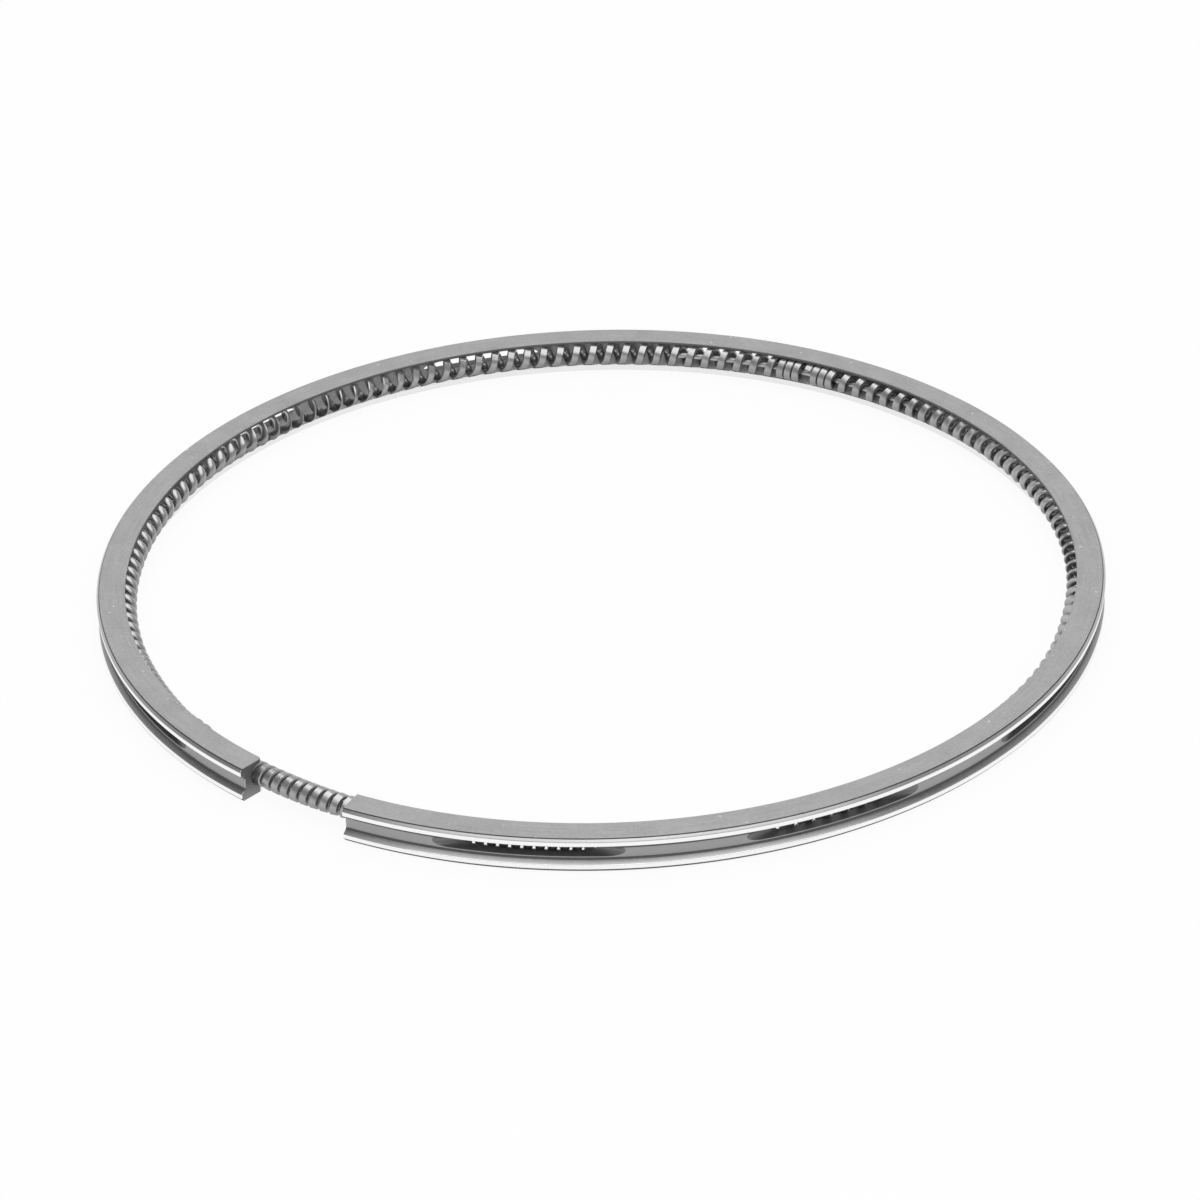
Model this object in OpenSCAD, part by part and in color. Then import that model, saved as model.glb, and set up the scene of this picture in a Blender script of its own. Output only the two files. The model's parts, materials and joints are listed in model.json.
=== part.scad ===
// Oil control piston ring, lying open as it does before it is fitted. A split ring body
// carries two scraper lands, an oil channel with drain slots, and a groove round its inside
// that holds a coil spring expander. A short wire inside the spring joins its two ends.
// Lengths are in millimetres and angles in degrees. The bottom side lies on z = 0, the ring's
// axis is Z, and the free gap faces -Y.

/* [Ring body] */
// Diameter over the scraper lands, with the ring open
outer_d = 83.2; // [70:0.1:120]
// Height from the bottom side to the top side
ring_h = 3; // [2.8:0.1:5]
// Radial width from the lands to the inside face
ring_w = 2.35; // [2.2:0.05:4]
// Free gap between the two ends, along the outer edge
gap = 10; // [2:0.5:20]
// Rounding of the inside corner at the end that lies clockwise of the gap
end_round = 0.25; // [0.1:0.05:0.6]

/* [Scraper lands] */
// Height of each land
land_h = 0.38; // [0.2:0.02:0.46]
// Height of the chamfer outside each land
edge_h = 0.28; // [0.12:0.02:0.36]
// Radial width of that chamfer
edge_w = 0.26; // [0.12:0.02:0.36]
// Rounding of the lands' edges and of the sides' outer edges
edge_round = 0.08; // [0.02:0.01:0.1]

/* [Oil channel] */
// Depth of the channel between the lands
channel_depth = 0.46; // [0.3:0.02:0.6]
// Slope of the channel's two flanks
flank_angle = 35; // [20:1:40]
// Rounding between the channel's floor and its flanks
floor_round = 0.22; // [0.05:0.01:0.24]

/* [Drain slots] */
// Number of slots
slot_count = 10; // [4:1:12]
// Height of a slot
slot_h = 0.92; // [0.5:0.02:1]
// Length of a slot along the channel's floor, from tip to tip
slot_len = 15; // [12:0.1:17]
// Diameter of the round-edged disc that cuts a slot, which gives it its tapered ends
cutter_d = 70; // [40:1:100]
// Unslotted length between each end of the ring and its first slot
end_wall = 7.3; // [4:0.1:12]

/* [Spring groove] */
// Angle between the walls that open out from the groove's round bottom
groove_angle = 30; // [20:1:50]
// Height of the groove's middle over the middle of the ring body
groove_rise = 0.14; // [0:0.02:0.2]

/* [Coil spring] */
// Diameter over the coils
spring_d = 1.9; // [1.6:0.01:2]
// Diameter of the spring's wire
wire_d = 0.72; // [0.5:0.01:0.8]
// Depth ground off the outside of the coils
ground = 0.13; // [0.05:0.01:0.16]
// How far the spring stands in from the ring body's inside face
spring_proud = 0.78; // [0.6:0.01:0.9]
// Clearance between the spring and its groove
spring_clearance = 0.03; // [0.01:0.01:0.1]
// Length of one turn along most of the spring
pitch = 1.5; // [1.3:0.05:2.5]
// Length of one turn where the spring is closer wound, across the gap
gap_pitch = 0.93; // [0.8:0.01:1.5]
// Part of the circle that is closer wound across the gap
gap_zone = 74; // [30:1:120]
// Close-wound turns at each end of the spring
joint_turns = 3; // [2:1:10]
// Clearance between the close-wound turns
turn_clearance = 0.03; // [0.02:0.01:0.1]

/* [Spring joint] */
// Angle from the middle of the gap to the joint between the spring's ends
joint_angle = 172.35; // [150:0.05:210]
// Clearance between the spring's two ends
end_clearance = 0.1; // [0.05:0.05:0.5]
// Length of the joining wire
joiner_len = 24; // [10:1:40]
// Clearance between the joining wire and the coils round it
joiner_clearance = 0.04; // [0.02:0.01:0.1]

/* [Hidden] */
$fn = 240;
margin = 1;
gap_dir = 270;

outer_r = outer_d / 2;
inner_r = outer_r - ring_w;
mid_z = ring_h / 2;
gap_angle = 360 * gap / (PI * outer_d);

floor_r = outer_r - channel_depth;
edge_angle = atan2(edge_h, edge_w);
land_top = edge_h + land_h;
floor_z = land_top + channel_depth * tan(flank_angle);

// The first slot's middle is found from the end of the ring, and the rest are spaced evenly.
floor_deg = 180 / (PI * floor_r);
first_slot = gap_angle / 2 + (end_wall + slot_len / 2) * floor_deg;
slot_step = (360 - 2 * first_slot) / (slot_count - 1);
// The disc's centre lies where its rim meets the channel's floor at both ends of the slot.
cutter_r = cutter_d / 2;
half_slot = slot_len / 2 * floor_deg;
cutter_x = floor_r * cos(half_slot) + sqrt(pow(cutter_r, 2) - pow(floor_r * sin(half_slot), 2));
// Only the part of the disc that meets the ring is drawn: so far in from its rim, and up to
// where that rim leaves the lands.
cutter_depth = outer_r - cutter_x + cutter_r + margin;
cutter_sweep = margin
    + acos((pow(cutter_x, 2) + pow(cutter_r, 2) - pow(outer_r, 2)) / (2 * cutter_x * cutter_r));

// The groove's bottom follows the spring, at a clearance.
groove_z = mid_z + groove_rise;
groove_half = groove_angle / 2;
groove_r = spring_d / 2 + spring_clearance;
spring_r = inner_r - spring_proud + spring_d / 2;

// Turns are counted from one end of the spring, in zones that each have their own pitch.
coil_deg = 180 / (PI * spring_r);
end_gap = (wire_d + end_clearance) * coil_deg;
joint_step = (wire_d + turn_clearance) * coil_deg;
open_step = pitch * coil_deg;
gap_step = gap_pitch * coil_deg;
spring_start = gap_dir - joint_angle + end_gap / 2;
joint_zone = joint_turns * joint_step;
open_1_turns = (joint_angle - end_gap / 2 - joint_zone - gap_zone / 2) / open_step;
gap_turns = gap_zone / gap_step;
open_2_turns = (360 - joint_angle - end_gap / 2 - joint_zone - gap_zone / 2) / open_step;
gap_from = joint_turns + open_1_turns;
open_2_from = gap_from + gap_turns;
joint_2_from = open_2_from + open_2_turns;
spring_turns = joint_2_from + joint_turns;

// The wire's section is four-sided: flat where it is ground, and as wide as its round area needs.
turn_steps = 7;
spring_steps = ceil(spring_turns * turn_steps);
wire_out = spring_d / 2;
wire_in = wire_out - wire_d + ground;
wire_w = 0.9 * wire_d;
wire_section = [
    [wire_out, wire_w / 2], [wire_out, -wire_w / 2], [wire_in, -wire_w / 2], [wire_in, wire_w / 2]
];

joiner_r = wire_in * cos(180 / turn_steps) - joiner_clearance;
joiner_angle = joiner_len * coil_deg;

// Turns that lie past the start of a zone, up to its end, times the angle of one turn there
function zone_angle(turn, from, turns, step) = step * min(max(turn - from, 0), turns);

// Angle round the ring at which the spring has made so many turns
function coil_angle(turn) =
    spring_start
    + zone_angle(turn, 0, joint_turns, joint_step)
    + zone_angle(turn, joint_turns, open_1_turns, open_step)
    + zone_angle(turn, gap_from, gap_turns, gap_step)
    + zone_angle(turn, open_2_from, open_2_turns, open_step)
    + zone_angle(turn, joint_2_from, joint_turns, joint_step);

// A corner of the wire's section at a turn: reach is from the coil's middle, along is sideways
function coil_point(turn, reach, along) =
    let (
        around = coil_angle(turn) + along * coil_deg,
        r = spring_r + reach * cos(360 * turn),
        z = groove_z + reach * sin(360 * turn)
    )
    [r * cos(around), r * sin(around), z];

// The corner at a point between two straight edges that leave it at angles from and to, up to
// an arc that is tangent to both
module corner_fill(point, from, to, radius) {
    half = (to - from) / 2;
    reach = radius / tan(half);
    centre = point + radius / sin(half) * [cos(from + half), sin(from + half)];
    difference() {
        polygon([
            point,
            point + reach * [cos(from), sin(from)],
            centre,
            point + reach * [cos(to), sin(to)]
        ]);
        translate(centre) circle(radius);
    }
}

module both_halves() {
    children();
    translate([0, ring_h]) mirror([0, 1]) children();
}

module channel_profile() {
    difference() {
        polygon([
            [outer_r + margin, land_top],
            [outer_r, land_top],
            [floor_r, floor_z],
            [floor_r, ring_h - floor_z],
            [outer_r, ring_h - land_top],
            [outer_r + margin, ring_h - land_top]
        ]);
        both_halves() corner_fill([floor_r, floor_z], -flank_angle, 90, floor_round);
    }
}

module groove_profile() {
    foot = groove_r * [sin(groove_half), cos(groove_half)];
    depth = spring_r + foot.x - inner_r + margin;
    mouth = foot.y + depth * tan(groove_half);
    translate([spring_r, groove_z]) {
        polygon([[foot.x - depth, -mouth], [foot.x, -foot.y], foot, [foot.x - depth, mouth]]);
        circle(groove_r);
    }
}

module ring_profile() {
    difference() {
        polygon([
            [inner_r, 0],
            [outer_r - edge_w, 0],
            [outer_r, edge_h],
            [outer_r, ring_h - edge_h],
            [outer_r - edge_w, ring_h],
            [inner_r, ring_h]
        ]);
        channel_profile();
        groove_profile();
        both_halves() {
            corner_fill([outer_r - edge_w, 0], edge_angle, 180, edge_round);
            corner_fill([outer_r, edge_h], 90, 180 + edge_angle, edge_round);
            corner_fill([outer_r, land_top], 180 - flank_angle, 270, edge_round);
        }
    }
}

// Cuts the inside corner of an end that lies along +X, with the ring on its -Y side
module end_rounding() {
    translate([0, 0, -margin])
        linear_extrude(ring_h + 2 * margin)
            difference() {
                translate([inner_r - margin, -end_round])
                    square(end_round + margin);
                translate([inner_r + end_round, -end_round]) circle(end_round);
            }
}

// Section of the slot cutter near its rim, which is fully rounded
module cutter_profile() {
    rim = slot_h / 2;
    translate([cutter_r - rim, 0]) circle(rim);
    translate([cutter_r - cutter_depth, -rim]) square([cutter_depth - rim, slot_h]);
}

module drain_slots() {
    for (i = [0 : slot_count - 1])
        rotate(gap_dir + first_slot + i * slot_step)
            translate([cutter_x, 0, groove_z])
                rotate_extrude(angle = 2 * cutter_sweep, start = 180 - cutter_sweep)
                    cutter_profile();
}

module ring_body() {
    color("silver")
        difference() {
            rotate_extrude(angle = 360 - gap_angle, start = gap_dir + gap_angle / 2) ring_profile();
            drain_slots();
            rotate(gap_dir - gap_angle / 2) end_rounding();
        }
}

module coil_spring() {
    sides = len(wire_section);
    points = [
        for (i = [0 : spring_steps], corner = wire_section)
            coil_point(i * spring_turns / spring_steps, corner[0], corner[1])
    ];
    walls = [
        for (i = [0 : spring_steps - 1], j = [0 : sides - 1])
            let (a = i * sides + j, b = i * sides + (j + 1) % sides)
            each [[a, b, a + sides], [b, b + sides, a + sides]]
    ];
    first_end = [for (j = [sides - 1 : -1 : 0]) j];
    last_end = [for (j = [0 : sides - 1]) spring_steps * sides + j];
    color("gray") polyhedron(points, concat(walls, [first_end, last_end]));
}

module joining_wire() {
    color("dimgray")
        rotate_extrude(angle = joiner_angle, start = gap_dir - joint_angle - joiner_angle / 2)
            translate([spring_r, groove_z]) circle(joiner_r);
}

ring_body();
coil_spring();
joining_wire();
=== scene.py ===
import json
import math

import bpy
from mathutils import Matrix, Vector

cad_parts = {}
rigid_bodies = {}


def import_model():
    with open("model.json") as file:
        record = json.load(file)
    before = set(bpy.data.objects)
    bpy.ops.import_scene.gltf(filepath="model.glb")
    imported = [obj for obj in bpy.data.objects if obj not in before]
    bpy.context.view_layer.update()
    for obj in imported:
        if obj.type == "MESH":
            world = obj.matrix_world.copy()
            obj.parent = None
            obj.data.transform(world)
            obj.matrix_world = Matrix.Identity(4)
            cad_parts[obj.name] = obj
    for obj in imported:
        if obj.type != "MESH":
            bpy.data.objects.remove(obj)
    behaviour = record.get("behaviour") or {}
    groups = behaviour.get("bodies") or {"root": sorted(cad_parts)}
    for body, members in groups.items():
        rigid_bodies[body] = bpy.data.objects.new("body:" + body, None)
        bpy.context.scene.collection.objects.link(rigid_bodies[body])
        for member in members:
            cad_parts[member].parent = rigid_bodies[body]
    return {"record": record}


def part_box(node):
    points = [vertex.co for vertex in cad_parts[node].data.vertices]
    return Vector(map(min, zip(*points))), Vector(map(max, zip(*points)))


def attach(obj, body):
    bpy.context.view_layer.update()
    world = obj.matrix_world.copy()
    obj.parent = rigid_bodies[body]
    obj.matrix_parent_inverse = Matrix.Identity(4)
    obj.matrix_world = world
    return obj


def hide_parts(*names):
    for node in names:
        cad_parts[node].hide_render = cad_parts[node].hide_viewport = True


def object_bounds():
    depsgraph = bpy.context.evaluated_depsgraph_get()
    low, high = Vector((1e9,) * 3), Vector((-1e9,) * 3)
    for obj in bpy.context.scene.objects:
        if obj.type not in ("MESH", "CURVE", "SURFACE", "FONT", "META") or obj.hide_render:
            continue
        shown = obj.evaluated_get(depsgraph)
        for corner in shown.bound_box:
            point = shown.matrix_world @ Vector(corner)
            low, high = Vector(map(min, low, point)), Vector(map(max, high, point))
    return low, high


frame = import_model()
cad_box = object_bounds()

# Ring body: one split ring of cast iron, turned to a section with two scraper lands, a channel between
# them and a round groove for the spring. A round-edged disc cutter makes the drain slots, which break
# through into that groove. The sides are ground, the lands are lapped bright, and the ring lies open.
MM = 0.001
GAP_SIDE = math.radians(270)

running_face = next(mount for mount in frame["record"]["mounts"] if mount["name"] == "running_face")
body_low, body_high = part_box("ring_body")
outer_r = running_face["dims"]["r_mm"] * MM
ring_h = body_high.z - body_low.z
ring_w = 2.35 * MM
free_gap = 10 * MM
land_h = 0.38 * MM
edge_h = 0.28 * MM
edge_w = 0.26 * MM
edge_round = 0.08 * MM
rim_share = 0.36
lip_round = 0.08 * MM
channel_depth = 0.46 * MM
flank_slope = math.radians(35)
floor_round = 0.22 * MM
slot_count = 10
slot_h = 0.92 * MM
slot_len = 15 * MM
cutter_r = 35 * MM
end_wall = 7.3 * MM
end_edge = 0.07 * MM
end_round = 0.25 * MM
groove_half = math.radians(15)
groove_rise = 0.14 * MM
spring_proud = 0.78 * MM
spring_d = 1.9 * MM
spring_clearance = 0.03 * MM

inner_r = outer_r - ring_w
floor_r = outer_r - channel_depth
land_top = edge_h + land_h
flank_foot = land_top + channel_depth * math.tan(flank_slope)
gap_angle = free_gap / outer_r
groove_z = (body_low.z + body_high.z) / 2 + groove_rise
spring_r = inner_r - spring_proud + spring_d / 2
groove_r = spring_d / 2 + spring_clearance
groove_edge = spring_r + groove_r / math.sin(groove_half)
half_slot = slot_len / 2 / floor_r
first_slot = gap_angle / 2 + (end_wall + slot_len / 2) / floor_r
slot_step = (2 * math.pi - 2 * first_slot) / (slot_count - 1)
half_chord = floor_r * math.sin(half_slot)
cutter_x = floor_r * math.cos(half_slot) + math.sqrt(cutter_r**2 - half_chord**2)
ROUND_STEP = math.radians(14)


def corners(inside_r):
    """Corners of the section round from the lower inside one, with the inside face at a radius: radius,
    height, rounding, and the finish of that rounding and of the face after it."""
    mouth = (groove_edge - inside_r) * math.tan(groove_half)
    return (
        (inside_r, 0, lip_round, "bore", "side"),
        (outer_r - edge_w, 0, edge_round, "under", "under"),
        (outer_r, edge_h, edge_round, "under", "land"),
        (outer_r, land_top, edge_round, "land", "flank"),
        (floor_r, flank_foot, floor_round, "corner", "floor"),
        (floor_r, ring_h - flank_foot, floor_round, "corner", "flank"),
        (outer_r, ring_h - land_top, edge_round, "land", "land"),
        (outer_r, ring_h - edge_h, edge_round, "edge", "edge"),
        (outer_r - edge_w * (1 - rim_share), ring_h - edge_h * rim_share, 0, "rim", "rim"),
        (outer_r - edge_w, ring_h, edge_round, "side", "side"),
        (inside_r, ring_h, lip_round, "side", "lip"),
        (inside_r, groove_z + mouth, lip_round, "lip", "groove"),
        (groove_edge, groove_z, groove_r, "groove", "groove"),
        (inside_r, groove_z - mouth, lip_round, "bore", "bore"),
    )


def rounding(before, corner, after, radius):
    """Points of the arc that rounds a corner of the section, tangent to both of its edges."""
    if radius == 0:
        return [corner]
    to_before = (before - corner).normalized()
    to_after = (after - corner).normalized()
    half = to_before.angle(to_after) / 2
    centre = corner + (to_before + to_after).normalized() * radius / math.sin(half)
    first = corner + to_before * radius / math.tan(half) - centre
    last = corner + to_after * radius / math.tan(half) - centre
    start = math.atan2(first.y, first.x)
    span = math.copysign(math.pi - 2 * half, first.cross(last))
    steps = round(abs(span) / ROUND_STEP) + 1
    angles = [start + span * k / steps for k in range(steps + 1)]
    return [centre + radius * Vector((math.cos(angle), math.sin(angle))) for angle in angles]


def rounded_section(inside_r):
    """Points of the section with its corners rounded, and the finish of the strip after each."""
    listed = corners(inside_r)
    places = [Vector(corner[:2]) for corner in listed]
    points = []
    finishes = []
    for i, (_, _, radius, arc_finish, face_finish) in enumerate(listed):
        arc = rounding(places[i - 1], places[i], places[(i + 1) % len(places)], radius)
        points += arc
        finishes += [arc_finish] * (len(arc) - 1) + [face_finish]
    return points, finishes


def drawn_in(points, inset):
    """The section's points moved in from its outline by one distance."""
    moved = []
    for i, point in enumerate(points):
        steps = (point - points[i - 1], points[(i + 1) % len(points)] - point)
        normals = [Vector((step.y, -step.x)).normalized() for step in steps]
        middle = (normals[0] + normals[1]).normalized()
        moved.append(point - middle * inset / middle.dot(normals[0]))
    return moved


def end_curve(distance, radius):
    """How far a rounding of that radius has drawn a face in, at a distance from the ring's end."""
    if distance >= radius:
        return 0
    return radius - math.sqrt(radius**2 - (radius - distance) ** 2)


def section(turn):
    """Points of the section at an angle from the middle of the gap."""
    first_end = max((turn - gap_angle / 2) * inner_r, 0)
    last_end = max((2 * math.pi - gap_angle / 2 - turn) * inner_r, 0)
    points, _ = rounded_section(inner_r + end_curve(last_end, end_round))
    return drawn_in(points, end_curve(min(first_end, last_end), end_edge))


def station_turns():
    """Angles from the middle of the gap at which the ring has a section, closer at its two ends."""
    plain_count = 290
    curve_steps = 5
    start = gap_angle / 2
    stop = 2 * math.pi - gap_angle / 2
    turns = [start + (stop - start) * k / plain_count for k in range(1, plain_count)]
    for k in range(curve_steps + 1):
        rise = 1 - math.sin(math.pi / 2 * k / curve_steps)
        turns += [start + end_edge * rise / inner_r, stop - end_edge * rise / inner_r]
        turns.append(stop - end_round * rise / inner_r)
    return sorted(set(round(turn, 7) for turn in turns))


def swept_mesh(name, angles, sections, rows, ends, finishes):
    """Sections swept round the Z axis. Each step of the sweep has a row of finishes, both ends have
    theirs, and a UV map measures along and across in metres."""
    count = len(sections[0])
    vertices = []
    for angle, points in zip(angles, sections):
        vertices += [(point.x * math.cos(angle), point.x * math.sin(angle), point.y) for point in points]
    across = [0]
    for j in range(count):
        across.append(across[-1] + (sections[0][(j + 1) % count] - sections[0][j]).length)
    faces = []
    uvs = []
    for i in range(len(angles) - 1):
        near = angles[i] * outer_r
        far = angles[i + 1] * outer_r
        for j in range(count):
            k = (j + 1) % count
            faces.append((i * count + j, (i + 1) * count + j, (i + 1) * count + k, i * count + k))
            uvs += [(near, across[j]), (far, across[j]), (far, across[j + 1]), (near, across[j + 1])]
    last = (len(angles) - 1) * count
    faces += [tuple(range(count)), tuple(reversed(range(last, last + count)))]
    uvs += list(sections[0]) + list(reversed(sections[-1]))
    names = list(finishes)
    slots = [names.index(finish) for row in rows for finish in row] + [names.index(ends)] * 2

    mesh = bpy.data.meshes.new(name)
    mesh.from_pydata(vertices, [], faces)
    mesh.uv_layers.new(name="turned").uv.foreach_set("vector", [value for uv in uvs for value in uv])
    for finish in finishes.values():
        mesh.materials.append(finish)
    mesh.polygons.foreach_set("material_index", slots)
    return mesh


def ring_mesh(finishes):
    """The ring without its slots. The groove's edge at each end has the finish of the cut."""
    turns = station_turns()
    _, row = rounded_section(inner_r)
    end_row = ["end" if finish == "groove" else finish for finish in row]
    edge_turn = end_edge / inner_r
    rows = []
    for near, far in zip(turns, turns[1:]):
        inside = turns[0] + edge_turn < far and near < turns[-1] - edge_turn
        rows.append(row if inside else end_row)
    angles = [GAP_SIDE + turn for turn in turns]
    return swept_mesh("ring", angles, [section(turn) for turn in turns], rows, "end", finishes)


def cutter_mesh(finishes):
    """The part of the slot cutter that meets the ring, with its own axis on Z and its rim rounded."""
    rim_steps = 12
    sweep_steps = 60
    spare_depth = 1 * MM
    spare_sweep = math.radians(1)
    depth = outer_r - cutter_x + cutter_r + spare_depth
    leaves = (cutter_x**2 + cutter_r**2 - outer_r**2) / (2 * cutter_x * cutter_r)
    half_sweep = math.acos(leaves) + spare_sweep
    rim = slot_h / 2
    points = [Vector((cutter_r - depth, -rim))]
    for k in range(rim_steps + 1):
        angle = math.pi * (k / rim_steps - 0.5)
        points.append(Vector((cutter_r - rim + rim * math.cos(angle), rim * math.sin(angle))))
    points.append(Vector((cutter_r - depth, rim)))
    angles = [math.pi + half_sweep * (2 * k / sweep_steps - 1) for k in range(sweep_steps + 1)]
    rows = [["slot"] * len(points)] * sweep_steps
    return swept_mesh("cutter", angles, [points] * len(angles), rows, "slot", finishes)


class Signal:
    """A socket of a node tree, on which sums are written as in Python."""

    def __init__(self, socket):
        self.socket = socket

    def node(self, kind, settings, inputs, output=0):
        """Adds a node to the same tree, gives it settings and inputs, and returns one output."""
        tree = self.socket.id_data
        added = tree.nodes.new(kind)
        for name, value in settings.items():
            setattr(added, name, value)
        for key, value in inputs.items():
            if isinstance(value, Signal):
                tree.links.new(value.socket, added.inputs[key])
            else:
                added.inputs[key].default_value = value
        return Signal(added.outputs[output])

    def math(self, operation, first, second=0.0):
        """The result of a Math node on one or two values."""
        return self.node("ShaderNodeMath", {"operation": operation}, {0: first, 1: second})

    def __add__(self, other):
        return self.math("ADD", self, other)

    def __sub__(self, other):
        return self.math("SUBTRACT", self, other)

    def __mul__(self, other):
        return self.math("MULTIPLY", self, other)

    def __radd__(self, other):
        return self.math("ADD", other, self)

    def __rsub__(self, other):
        return self.math("SUBTRACT", other, self)

    def __rmul__(self, other):
        return self.math("MULTIPLY", other, self)

    def within(self, low, high):
        """This value, held between two limits."""
        return self.math("MINIMUM", self.math("MAXIMUM", self, low), high)

    def mapped(self, from_low, from_high, to_low, to_high):
        """This value carried from one range to another, and held inside it."""
        ends = {1: from_low, 2: from_high, 3: to_low, 4: to_high}
        return self.node("ShaderNodeMapRange", {}, {0: self, **ends})

    def stretched(self, x, y, z):
        """This place, with its three directions multiplied."""
        return self.node("ShaderNodeMapping", {}, {"Vector": self, "Scale": (x, y, z)})

    def noise(self, per_metre, detail):
        """Cloudy noise from 0 to 1 at this place."""
        inputs = {"Vector": self, "Scale": per_metre, "Detail": detail}
        return self.node("ShaderNodeTexNoise", {}, inputs)

    def spread(self, low, high):
        """This noise carried to a range. Nearly all of it lies between 0.3 and 0.7."""
        return self.mapped(0.3, 0.7, low, high)

    def axis(self, number):
        """One of this place's three coordinates."""
        return self.node("ShaderNodeSeparateXYZ", {}, {0: self}, output=number)

    def between(self, low, high):
        """The colour at this share of the way from one grey to another."""
        ends = {6: (low, low, low, 1), 7: (high, high, high, 1)}
        settings = {"data_type": "RGBA", "clamp_factor": False}
        return self.node("ShaderNodeMix", settings, {0: self, **ends}, output=2)


def start_material(name):
    """A new material, its shader node, and the object's own coordinates as a signal."""
    material = bpy.data.materials.new(name)
    material.use_nodes = True
    tree = material.node_tree
    place = Signal(tree.nodes.new("ShaderNodeTexCoord").outputs["Object"])
    return material, tree.nodes["Principled BSDF"], place


def plug(signal, shader, name):
    """Links a signal to the shader's input of that name."""
    shader.id_data.links.new(signal.socket, shader.inputs[name])


def emboss(relief, shader):
    """Makes the surface look raised by a signal in metres."""
    bump = relief.node("ShaderNodeBump", {}, {"Strength": 1, "Distance": 1, "Height": relief})
    plug(bump, shader, "Normal")


# How many of the iron's features there are to a metre, and the noise at which a fleck starts and is full
LINES_ALONG = 150
LINES_ACROSS = 16000
IRON_GRAINS = 5200
IRON_BLOTCHES = 420
IRON_FLECKS = 2300
FLECK_LEVELS = (0.81, 0.84)


def iron_finish(name, greys, metallic, roughness, lines, grain, flecks=0, foot_shade=None):
    """Cast iron with turning lines that run round the ring, and a fine grain. Greys and roughness
    are ranges, lines and grain are the depths of the two reliefs in metres, and flecks says how
    bright its few scattered flecks are. The last argument is painted shade at the channel's floor:
    its least tone there, from where the tone rises to the lands: 0 is the darker grey, less than 0
    darker still."""
    material, shader, place = start_material(name)
    turned = place.node("ShaderNodeUVMap", {"uv_map": "turned"}, {})
    line = turned.stretched(LINES_ALONG, LINES_ACROSS, 1).noise(1, 3)
    speckle = place.noise(IRON_GRAINS, 3)
    blotch = place.noise(IRON_BLOTCHES, 2)
    fleck = place.noise(IRON_FLECKS, 0).mapped(*FLECK_LEVELS, 0, 1)
    tone = (0.45 * line + 0.35 * speckle + 0.2 * blotch).spread(0, 1) + flecks * fleck
    # Painted shade: with that argument the tone is painted darker towards the channel's floor, at the
    # flank's foot.
    if foot_shade is not None:
        x = place.axis(0)
        y = place.axis(1)
        from_axis = place.math("SQRT", x * x + y * y)
        tone = tone * 0.5 + from_axis.mapped(floor_r, outer_r, foot_shade, 0.5)
    plug(tone.between(*greys), shader, "Base Color")
    plug((0.6 * speckle + 0.4 * line).spread(*roughness), shader, "Roughness")
    shader.inputs["Metallic"].default_value = metallic
    emboss(lines * line + grain * speckle, shader)
    return material


def cut_end():
    """Sawn iron, lighter towards the bottom side and darker towards the top."""
    material, shader, place = start_material("cut_end")
    light_below = 0.2 * MM
    dark_above = 1.5 * MM
    speckle = place.noise(IRON_GRAINS, 3)
    tone = place.axis(2).mapped(light_below, dark_above, 0.8, 0.1) + 0.3 * speckle
    plug(tone.between(0.07, 0.34), shader, "Base Color")
    plug(speckle.spread(0.5, 0.65), shader, "Roughness")
    shader.inputs["Metallic"].default_value = 0.4
    emboss(4e-6 * speckle, shader)
    return material


ring_finishes = {
    # greys, metallic, roughness, depth of the turning lines and of the grain
    "side": iron_finish("ring_body", (0.3, 0.52), 0.3, (0.5, 0.62), 0, 3e-6, flecks=1),
    # The rim is painted shade: a dark line painted along the outer edge of the top, not the iron's own
    # colour.
    "rim": iron_finish("rim_painted_shade", (0.05, 0.09), 0.5, (0.5, 0.6), 0, 2e-6),
    # The under edge is painted dark as the shadow where the ring meets the table: painted shade.
    "under": iron_finish("under_edge_painted_shade", (0.03, 0.06), 0.5, (0.5, 0.6), 0, 2e-6),
    "edge": iron_finish("turned_edge", (0.48, 0.6), 1, (0.28, 0.38), 2e-6, 0),
    "land": iron_finish("lapped_land", (0.9, 0.97), 1, (0.1, 0.16), 4e-7, 0),
    # The flank's tone is painted darker towards the channel's floor: painted shade at its foot.
    "flank": iron_finish("channel_flank", (0.22, 0.56), 1, (0.28, 0.38), 3e-6, 0, foot_shade=-0.4),
    # The corner between the channel's floor and its flanks is painted dark, as shade in that hollow.
    "corner": iron_finish("channel_corner_painted_shade", (0.1, 0.15), 0.6, (0.45, 0.6), 2e-6, 1e-6),
    "floor": iron_finish("channel_floor", (0.38, 0.46), 0.6, (0.45, 0.6), 2e-6, 1e-6),
    "groove": iron_finish("groove_wall", (0.6, 0.72), 0.2, (0.5, 0.65), 2e-6, 1e-6),
    # The upper lip's inner face is painted dark as the shade under the top face; the bore's own finish
    # is the bright one below.
    "lip": iron_finish("upper_lip_painted_shade", (0.1, 0.16), 0.6, (0.45, 0.6), 2e-6, 1e-6),
    "bore": iron_finish("bore_face", (0.8, 0.9), 1, (0.2, 0.3), 2e-6, 1e-6),
    "slot": iron_finish("slot_wall", (0.18, 0.26), 0.6, (0.4, 0.5), 2e-6, 1e-6),
    "end": cut_end(),
}
ring_body = bpy.data.objects.new("ring", ring_mesh(ring_finishes))
bpy.context.collection.objects.link(ring_body)


def apply_modifiers(piece):
    """Makes the piece's mesh what its modifiers show, and removes them."""
    evaluated = piece.evaluated_get(bpy.context.evaluated_depsgraph_get())
    mesh = bpy.data.meshes.new_from_object(evaluated)
    piece.modifiers.clear()
    piece.data = mesh


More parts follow.
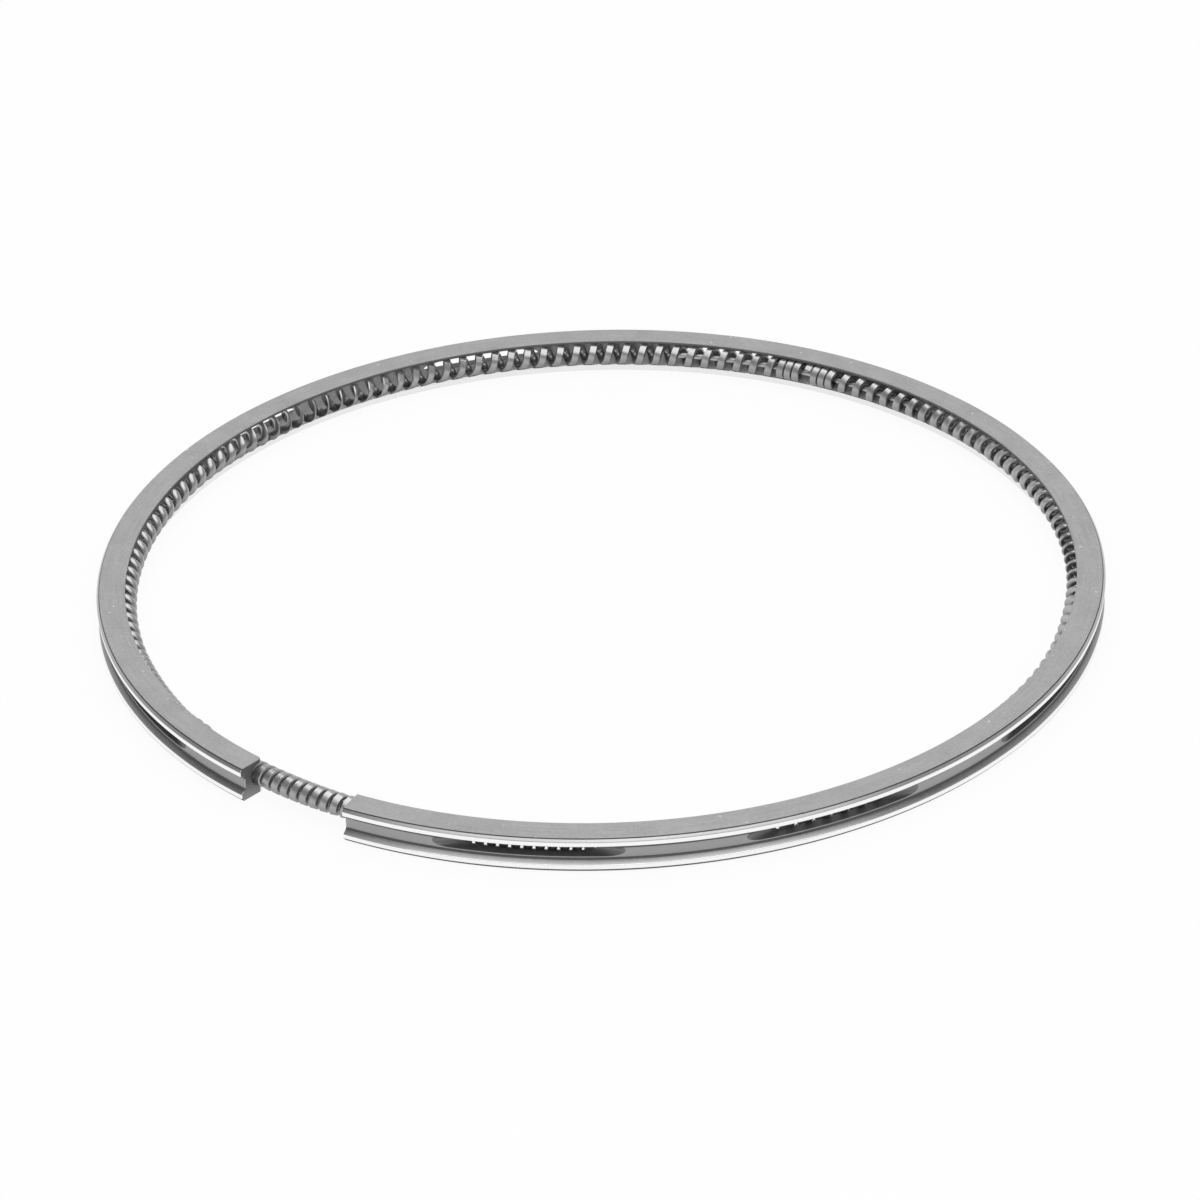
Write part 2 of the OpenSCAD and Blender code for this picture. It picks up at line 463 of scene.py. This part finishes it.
def cut_slots(piece, cutter):
    """Cuts the cutter's mesh out of the piece at each drain slot."""
    cutters = bpy.data.collections.new("cutters")
    bpy.context.scene.collection.children.link(cutters)
    for i in range(slot_count):
        disc = bpy.data.objects.new("cutter", cutter)
        turn = Matrix.Rotation(GAP_SIDE + first_slot + slot_step * i, 4, "Z")
        disc.matrix_world = turn @ Matrix.Translation((cutter_x, 0, groove_z))
        cutters.objects.link(disc)
    cut = piece.modifiers.new("slots", "BOOLEAN")
    cut.operand_type = "COLLECTION"
    cut.collection = cutters
    cut.solver = "EXACT"
    weld = piece.modifiers.new("joined_corners", "WELD")
    weld.merge_threshold = 0.001 * MM
    apply_modifiers(piece)
    for disc in list(cutters.objects):
        bpy.data.objects.remove(disc)
    bpy.data.collections.remove(cutters)


cut_slots(ring_body, cutter_mesh(ring_finishes))
ring_body.data.polygons.foreach_set("use_smooth", [True] * len(ring_body.data.polygons))
ring_body.data.set_sharp_from_angle(angle=math.radians(40))
weighted = ring_body.modifiers.new("even_faces", "WEIGHTED_NORMAL")
weighted.keep_sharp = True
apply_modifiers(ring_body)
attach(ring_body, "root")
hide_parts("ring_body")

# Coil spring: the expander, one length of drawn spring wire wound into a coil, bent into a ring and
# ground flat on the outside of its turns. It lies in the body's groove, with closer turns across
# the gap and close-wound turns at its own joint.
wire_d = 0.72 * MM
ground = 0.13 * MM
pitch = 1.5 * MM
gap_pitch = 0.93 * MM
gap_zone = math.radians(74)
joint_turns = 3
turn_clearance = 0.03 * MM
joint_angle = math.radians(172.35)
end_clearance = 0.1 * MM

end_gap = (wire_d + end_clearance) / spring_r
joint_step = (wire_d + turn_clearance) / spring_r
open_step = pitch / spring_r
gap_step = gap_pitch / spring_r
joint_zone = joint_turns * joint_step
first_open_zone = joint_angle - end_gap / 2 - joint_zone - gap_zone / 2
second_open_zone = 2 * math.pi - joint_angle - end_gap / 2 - joint_zone - gap_zone / 2
coil_sizes = {
    "Ring Radius": spring_r,
    "Middle Height": groove_z,
    "Coil Radius": spring_d / 2 + ground - wire_d / 2,
    "Wire Radius": wire_d / 2,
    "Flat Angle": math.acos(1 - ground / (wire_d / 2)),
    "Start Angle": GAP_SIDE - joint_angle + end_gap / 2,
    "Joint Turns": joint_turns,
    "First Open Turns": first_open_zone / open_step,
    "Gap Turns": gap_zone / gap_step,
    "Second Open Turns": second_open_zone / open_step,
    "Joint Step": joint_step,
    "Open Step": open_step,
    "Gap Step": gap_step,
}
STEPS_A_TURN = 24
WIRE_SIDES = 13


def size_tree(name, sizes):
    """A geometry node tree with a named input for each size, and those inputs as signals."""
    tree = bpy.data.node_groups.new(name, "GeometryNodeTree")
    tree.interface.new_socket("Geometry", in_out="OUTPUT", socket_type="NodeSocketGeometry")
    for size in sizes:
        tree.interface.new_socket(size, in_out="INPUT", socket_type="NodeSocketFloat")
    source = tree.nodes.new("NodeGroupInput")
    return tree, {size: Signal(source.outputs[size]) for size in sizes}


def finish_tree(tree, wall, material):
    """Ends the tree in smooth, realized geometry that carries the material."""
    smooth = wall.node("GeometryNodeSetShadeSmooth", {}, {"Geometry": wall})
    real = wall.node("GeometryNodeRealizeInstances", {}, {"Geometry": smooth})
    dressed = wall.node("GeometryNodeSetMaterial", {}, {"Geometry": real, "Material": material})
    target = tree.nodes.new("NodeGroupOutput")
    tree.links.new(dressed.socket, target.inputs["Geometry"])


def coil_tree(sizes, material):
    """Wire swept along a coil whose turns are counted from one end, zone by zone."""
    tree, size = size_tree("coil_spring", sizes)
    zones = (
        ("Joint Turns", "Joint Step"),
        ("First Open Turns", "Open Step"),
        ("Gap Turns", "Gap Step"),
        ("Second Open Turns", "Open Step"),
        ("Joint Turns", "Joint Step"),
    )
    any_size = size["Ring Radius"]
    point_count = round(sum(sizes[turns] for turns, _ in zones) * STEPS_A_TURN) + 1
    line = any_size.node("GeometryNodeCurvePrimitiveLine", {}, {})
    line = any_size.node("GeometryNodeResampleCurve", {}, {"Curve": line, "Count": point_count})
    share = any_size.node("GeometryNodeSplineParameter", {}, {}, output="Factor")
    total = sum(size[turns] for turns, _ in zones)
    turn = share * total
    angle = size["Start Angle"]
    before = 0
    for turns, step in zones:
        angle = angle + (turn - before).within(0, size[turns]) * size[step]
        before = size[turns] + before
    phase = turn * (2 * math.pi)
    sideways = any_size.math("COSINE", phase)
    upwards = any_size.math("SINE", phase)
    east = any_size.math("COSINE", angle)
    north = any_size.math("SINE", angle)
    reach = size["Ring Radius"] + size["Coil Radius"] * sideways
    height = size["Middle Height"] + size["Coil Radius"] * upwards
    place = any_size.node("ShaderNodeCombineXYZ", {}, {0: reach * east, 1: reach * north, 2: height})
    outwards = {0: sideways * east, 1: sideways * north, 2: upwards}
    away = any_size.node("ShaderNodeCombineXYZ", {}, outwards)
    coil = any_size.node("GeometryNodeSetPosition", {}, {"Geometry": line, "Position": place})
    coil = any_size.node("GeometryNodeSetCurveNormal", {"mode": "FREE"}, {"Curve": coil, "Normal": away})
    round_part = {
        "Resolution": WIRE_SIDES,
        "Radius": size["Wire Radius"],
        "Start Angle": size["Flat Angle"],
        "Sweep Angle": 2 * math.pi - 2 * size["Flat Angle"],
    }
    wire = any_size.node("GeometryNodeCurveArc", {"mode": "RADIUS"}, round_part)
    wire = any_size.node("GeometryNodeSetSplineCyclic", {}, {"Geometry": wire, "Cyclic": True})
    sweep = {"Curve": coil, "Profile Curve": wire, "Fill Caps": True}
    wall = any_size.node("GeometryNodeCurveToMesh", {}, sweep)
    finish_tree(tree, wall, material)
    return tree


def grow(name, tree, sizes):
    """An object with the mesh that a tree makes at these sizes."""
    piece = bpy.data.objects.new(name, bpy.data.meshes.new(name))
    bpy.context.collection.objects.link(piece)
    modifier = piece.modifiers.new("grow", "NODES")
    modifier.node_group = tree
    for item in tree.interface.items_tree:
        if item.in_out == "INPUT":
            modifier[item.identifier] = float(sizes[item.name])
    apply_modifiers(piece)
    return piece


def spring_wire():
    """Drawn steel with fine streaks and grain, its colour painted darker towards the bottom and lighter
    towards the top: painted shade and painted light.
    """
    material, shader, place = start_material("spring_wire")
    # Painted shade below and painted light above: the base colour rises with height.
    shaded_below = groove_z - 0.8 * MM
    lit_above = groove_z + 0.6 * MM
    streaks_a_metre = 2600
    grains_a_metre = 9000
    painted_light = place.axis(2).mapped(shaded_below, lit_above, 0, 1)
    streak = place.noise(streaks_a_metre, 3)
    speckle = place.noise(grains_a_metre, 2)
    tone = 0.7 * painted_light + 0.2 * streak + 0.1 * speckle
    plug(tone.between(0.14, 0.56), shader, "Base Color")
    plug((0.7 * speckle + 0.3 * streak).spread(0.26, 0.38), shader, "Roughness")
    shader.inputs["Metallic"].default_value = 1
    emboss(1.5e-6 * speckle, shader)
    return material


coil_spring = grow("coil", coil_tree(coil_sizes, spring_wire()), coil_sizes)
coil_spring.data.set_sharp_from_angle(angle=math.radians(35))
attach(coil_spring, "root")
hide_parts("coil_spring")

# Joining wire: a short length of plain drawn wire that is pushed into both ends of the spring and
# keeps them in line. It lies along the ring, opposite the gap, and shows between the open turns.
joiner_low, joiner_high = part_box("joining_wire")
joiner_len = 24 * MM
joiner_sizes = {
    "Ring Radius": spring_r,
    "Middle Height": groove_z,
    "Wire Radius": (joiner_high.z - joiner_low.z) / 2,
    "Start Angle": GAP_SIDE - joint_angle - joiner_len / spring_r / 2,
    "Sweep Angle": joiner_len / spring_r,
}


def joiner_tree(sizes, material):
    """A round wire swept along an arc of the ring."""
    tree, size = size_tree("joining_wire", sizes)
    any_size = size["Ring Radius"]
    arc = {
        "Resolution": 64,
        "Radius": size["Ring Radius"],
        "Start Angle": size["Start Angle"],
        "Sweep Angle": size["Sweep Angle"],
    }
    path = any_size.node("GeometryNodeCurveArc", {"mode": "RADIUS"}, arc)
    lift = any_size.node("ShaderNodeCombineXYZ", {}, {2: size["Middle Height"]})
    path = any_size.node("GeometryNodeSetPosition", {}, {"Geometry": path, "Offset": lift})
    circle = {"Resolution": 20, "Radius": size["Wire Radius"]}
    wire = any_size.node("GeometryNodeCurvePrimitiveCircle", {"mode": "RADIUS"}, circle)
    sweep = {"Curve": path, "Profile Curve": wire, "Fill Caps": True}
    wall = any_size.node("GeometryNodeCurveToMesh", {}, sweep)
    finish_tree(tree, wall, material)
    return tree


def plain_wire():
    """Dull drawn steel with fine blotches."""
    material, shader, place = start_material("joining_wire")
    blotches_a_metre = 1800
    blotch = place.noise(blotches_a_metre, 3)
    plug(blotch.spread(0, 1).between(0.36, 0.5), shader, "Base Color")
    plug(blotch.spread(0.28, 0.42), shader, "Roughness")
    shader.inputs["Metallic"].default_value = 1
    return material


joining_wire = grow("joiner", joiner_tree(joiner_sizes, plain_wire()), joiner_sizes)
joining_wire.data.set_sharp_from_angle(angle=math.radians(35))
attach(joining_wire, "root")
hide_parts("joining_wire")

# Floor and light: a white table that the camera and bright metal see as plain white, a broad soft box
# overhead, two smaller ones side by side in front and a weak one at the right, and a dim room with a
# lighter wall behind the ring.
VIEW_SIDE = math.radians(36.1)
floor_size = 4
floor_clearance = 0.01 * MM
floor_share = 0.93
fibres_a_metre = 60
room_low_grey = 0.6
room_high_grey = 0.25
far_wall_grey = 0.3
# Along a direction of length 1: where the room's low part ends and its high part starts, and where its
# far wall starts and is full
low_until = 0.15
high_from = 0.4
far_wall_from = 0.2
far_wall_full = 0.7
soft_boxes = (
    # side of the camera and rise in degrees, distance, width and height in metres, and radiance
    (0, 97, 0.75, 0.85, 0.97, 1.4),
    (-22, 49, 0.9, 0.62, 0.42, 1.2),
    (33, 49, 0.9, 0.74, 0.42, 1.2),
    (105, 28, 0.9, 0.7, 0.5, 0.2),
)


def looking_in(side, rise):
    """Right, up and back for what looks at the middle of the ring from an angle to -Y, turning towards
    +X, and an angle above the floor."""
    flat = math.cos(rise)
    right = Vector((math.cos(side), math.sin(side), 0))
    back = Vector((math.sin(side) * flat, -math.cos(side) * flat, math.sin(rise)))
    return right, back.cross(right), back


def seen_plainly(tree):
    """One for rays from the camera and from gloss and glass, and nought for the rest."""
    rays = tree.nodes.new("ShaderNodeLightPath").outputs
    kinds = ("Is Camera Ray", "Is Glossy Ray", "Is Transmission Ray")
    return sum(Signal(rays[kind]) for kind in kinds).within(0, 1)


def white_table():
    """Matt paper that keeps the ring's shadow, under the plain white that is seen."""
    material, shader, place = start_material("white_table")
    tree = material.node_tree
    paper = place.noise(fibres_a_metre, 2).spread(0, 1).between(0.88, 0.92)
    plug(paper, shader, "Base Color")
    shader.inputs["Roughness"].default_value = 0.9
    shader.inputs["Specular IOR Level"].default_value = 0
    white = place.node("ShaderNodeEmission", {}, {"Color": (1, 1, 1, 1), "Strength": 1})
    share = seen_plainly(tree) * floor_share
    mixed = place.node("ShaderNodeMixShader", {}, {0: share, 1: Signal(shader.outputs[0]), 2: white})
    tree.links.new(mixed.socket, tree.nodes["Material Output"].inputs["Surface"])
    return material


half_floor = floor_size / 2
floor_z = cad_box[0].z - floor_clearance
floor_corners = [
    (-half_floor, -half_floor, floor_z),
    (half_floor, -half_floor, floor_z),
    (half_floor, half_floor, floor_z),
    (-half_floor, half_floor, floor_z),
]
floor_mesh = bpy.data.meshes.new("floor")
floor_mesh.from_pydata(floor_corners, [], [(0, 1, 2, 3)])
floor_mesh.materials.append(white_table())
floor = bpy.data.objects.new("floor", floor_mesh)
bpy.context.collection.objects.link(floor)

for side, rise, distance, width, height, radiance in soft_boxes:
    lamp = bpy.data.lights.new("soft_box", "AREA")
    lamp.shape = "RECTANGLE"
    lamp.size = width
    lamp.size_y = height
    lamp.energy = radiance * math.pi * width * height
    box_axes = looking_in(VIEW_SIDE + math.radians(side), math.radians(rise))
    soft_box = bpy.data.objects.new("soft_box", lamp)
    box_turn = Matrix(box_axes).transposed().to_4x4()
    soft_box.matrix_world = Matrix.Translation(box_axes[2] * distance) @ box_turn
    bpy.context.collection.objects.link(soft_box)

room = bpy.data.worlds.new("room")
room.use_nodes = True
room_tree = room.node_tree
camera_ray = Signal(room_tree.nodes.new("ShaderNodeLightPath").outputs["Is Camera Ray"])
direction = Signal(room_tree.nodes.new("ShaderNodeTexCoord").outputs["Generated"])
far_side = direction.axis(0) * -math.sin(VIEW_SIDE) + direction.axis(1) * math.cos(VIEW_SIDE)
far_wall = far_side.mapped(far_wall_from, far_wall_full, 0, far_wall_grey)
room_grey = direction.axis(2).mapped(low_until, high_from, room_low_grey, room_high_grey) + far_wall
room_light = camera_ray * (1 - room_grey) + room_grey
room_tree.nodes["Background"].inputs["Color"].default_value = (1, 1, 1, 1)
room_tree.links.new(room_light.socket, room_tree.nodes["Background"].inputs["Strength"])
bpy.context.scene.world = room
bpy.context.scene.view_settings.view_transform = "Standard"

# Camera: a long lens that looks down on the open ring from the gap's side, tilted a little. The lens is
# shifted, because the ring doesn't lie in the middle of the picture.
photo_size = 1200
optical_centre = (599.86, 561.31)
lens_pixels = 4989
view_rise = math.radians(30.272)
view_roll = math.radians(1.599)
view_distance = 412.6 * MM

lens = bpy.data.cameras.new("camera")
lens.sensor_width = 36
lens.lens = lens.sensor_width * lens_pixels / photo_size
lens.shift_x = -(optical_centre[0] - photo_size / 2 + 0.5) / photo_size
lens.shift_y = (optical_centre[1] - photo_size / 2 + 0.5) / photo_size
lens.clip_start = 0.01
right, up, back = looking_in(VIEW_SIDE, view_rise)
tilted_right = right * math.cos(view_roll) - up * math.sin(view_roll)
tilted_up = right * math.sin(view_roll) + up * math.cos(view_roll)
camera = bpy.data.objects.new("camera", lens)
view_turn = Matrix((tilted_right, tilted_up, back)).transposed().to_4x4()
camera.matrix_world = Matrix.Translation(Vector((0, 0, ring_h)) + back * view_distance) @ view_turn
bpy.context.collection.objects.link(camera)
bpy.context.scene.camera = camera
